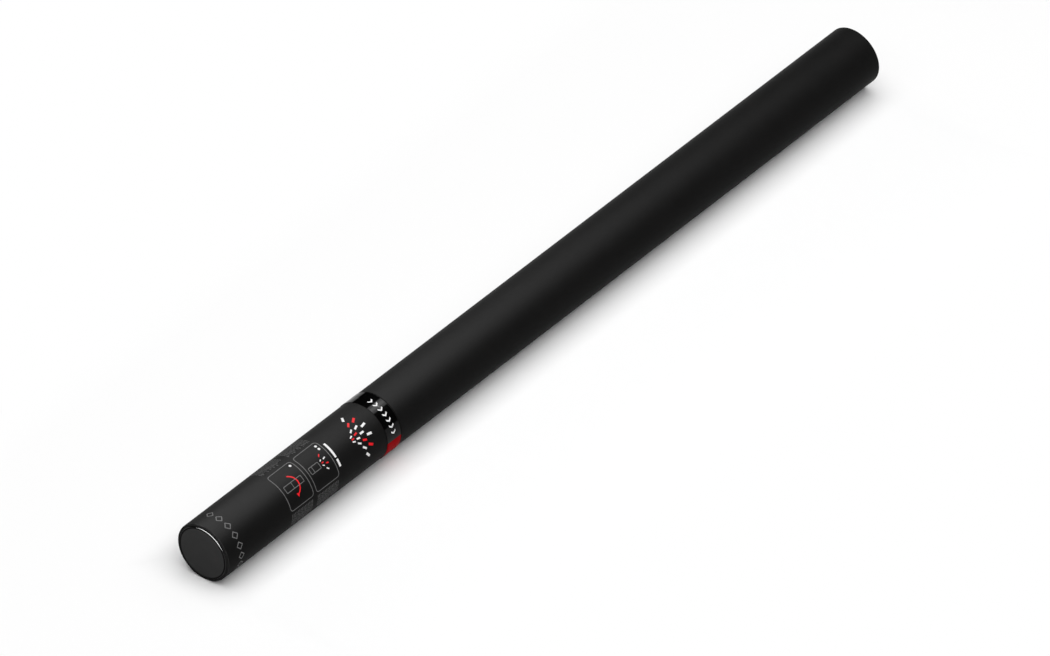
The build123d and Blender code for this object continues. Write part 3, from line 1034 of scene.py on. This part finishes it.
def stack_boxes(node):
    """Copy a layer's CAD solids, part them, measure each and throw the copy away."""
    bpy.ops.object.select_all(action="DESELECT")
    copy = nodes[node].copy()
    copy.data = nodes[node].data.copy()
    bpy.context.scene.collection.objects.link(copy)
    bpy.context.view_layer.objects.active = copy
    copy.select_set(True)
    bpy.ops.object.mode_set(mode="EDIT")
    bpy.ops.mesh.select_all(action="SELECT")
    bpy.ops.mesh.remove_doubles(threshold=MM / 500)
    bpy.ops.mesh.separate(type="LOOSE")
    bpy.ops.object.mode_set(mode="OBJECT")
    stacks = list(bpy.context.selected_objects)
    boxes = []
    for stack in stacks:
        places = [point.co.copy() for point in stack.data.vertices]
        boxes.append([Vector(map(end, *places)) for end in (min, max)])
    bpy.ops.object.delete()
    return sorted(boxes, key=lambda box: [round(c, 5) for c in box[0]])


# %% Stack the slips
slip_pitch, slip_thick, slip_width = 0.42, 0.32, 17.0
most_short, most_narrow, most_shift, shift_share = 0.012, 0.015, 0.2, 80


def stack(low, high):
    """Thin slips stacked across the box's other width, each nudged a little inwards."""
    size = high - low
    way = 2 if abs(size.y / MM - slip_width) < 0.1 else 1
    count = max(2, int(size[way] / MM / slip_pitch))
    pitch = size[way] / count
    leaf = Vector(size)
    leaf[way] = slip_thick * MM
    middle = (low + high) / 2
    middle[way] = low[way] + pitch / 2
    bpy.ops.object.select_all(action="DESELECT")
    bpy.ops.mesh.primitive_cube_add(size=1)
    made = bpy.context.object
    bpy.ops.object.mode_set(mode="EDIT")
    bpy.ops.transform.resize(value=leaf, center_override=(0, 0, 0))
    bpy.ops.transform.translate(value=middle)
    bpy.ops.object.mode_set(mode="OBJECT")
    step = [0, 0, 0]
    step[way] = pitch
    apply(made, "ARRAY", count=count, use_relative_offset=False,
          use_constant_offset=True, constant_offset_displace=step)
    centre = (low + high) / 2
    points = made.data.vertices
    for first in range(0, len(points), 8):
        short = 1 - draws.uniform(0, most_short)
        narrow = 1 - draws.uniform(0, most_narrow)
        shift = draws.uniform(-most_shift, most_shift) * MM
        for point in points[first:first + 8]:
            away = point.co - centre
            point.co.x = centre.x + away.x * short + shift * (1 - short) * shift_share
            point.co[3 - way] = centre[3 - way] + away[3 - way] * narrow
    return made


def confetti_layer(node, name):
    """All the stacks of one layer, joined to one piece."""
    stacks = [stack(*box) for box in stack_boxes(node)]
    bpy.ops.object.select_all(action="DESELECT")
    for made in stacks:
        made.select_set(True)
    bpy.context.view_layer.objects.active = stacks[0]
    bpy.ops.object.join()
    layer = bpy.context.object
    layer.name = layer.data.name = name
    print(name, len(layer.data.polygons), "faces")
    return settle(layer, "charge", "confetti_slips", confetti_slips, node)


for n in range(1, 10):
    confetti_layer(f"confetti_layer_{n}", f"slip_bundle_{n}")

# %% [markdown]
# ## Works inside the handle
# The coupler, cylinder, valve and seals are exact in the CAD model, so its nodes stay and only
# get better finishes: moulded plastic, drawn aluminium, foam, rubber and bright steel.

# %% Finishes for the works
def moulded_recipe(dark, light, rough, gloss=0.5):
    """Moulded plastic with a fine spark-eroded grain."""
    def recipe(tree):
        spark = noise(tree, 0.2, 2)
        cloud = noise(tree, 8, 2)
        return {
            "Base Color": (spark * 0.4 + cloud * 0.6).mix(dark, light),
            "Roughness": rough + cloud * 0.12,
            "Specular IOR Level": gloss,
            "Normal": spark.bump(0.02, 0.4),
        }
    return recipe


def drawn_metal_recipe(dark, light, rough):
    """Metal with fine lines along the way it was drawn."""
    def recipe(tree):
        line = noise(tree, 0.3, 3, (0.03, 1, 1))
        stain = noise(tree, 12, 3)
        return {
            "Base Color": (line * 0.5 + stain * 0.5).mix(dark, light),
            "Metallic": 1.0,
            "Roughness": rough + line * 0.14 + stain * 0.08,
            "Normal": line.bump(0.01, 0.4),
        }
    return recipe


def foam_recipe(tree):
    cell = tree.node("TexVoronoi", {}, {"Vector": place(tree), "Scale": 1 / (0.9 * MM)})
    return {
        "Base Color": cell.step(0.1, 0.7).mix(grey(0.11), grey(0.24)),
        "Roughness": 0.85 + cell * 0.1,
        "Normal": cell.bump(0.3, 0.6),
    }


works = {
    "coupler_plastic": (moulded_recipe(grey(0.012), grey(0.022), 0.42, 0.12),
                        ("breech_coupler", "spacer_ring_lower", "spacer_ring_upper")),
    "valve_plastic": (moulded_recipe((0.68, 0.66, 0.6, 1), (0.8, 0.79, 0.74, 1), 0.35),
                      ("valve_body", "valve_plug")),
    "seal_rubber": (moulded_recipe(grey(0.010), grey(0.02), 0.55, 0.2),
                    ("neck_gasket", "collar_o_ring", "plug_o_ring")),
    "cylinder_metal": (drawn_metal_recipe(grey(0.68), grey(0.8), 0.22),
                       ("gas_cylinder", "crimp_ferrule")),
    "pin_steel": (drawn_metal_recipe(grey(0.5), grey(0.64), 0.14),
                  ("cam_pin", "retaining_clip")),
    "pad_foam": (foam_recipe, ("cylinder_pad",)),
}
for name, (recipe, kept) in works.items():
    works_finish = finish(name, recipe)
    for node in kept:
        for place_for in nodes[node].material_slots:
            place_for.material = works_finish
        print(node, "keeps its CAD shape")
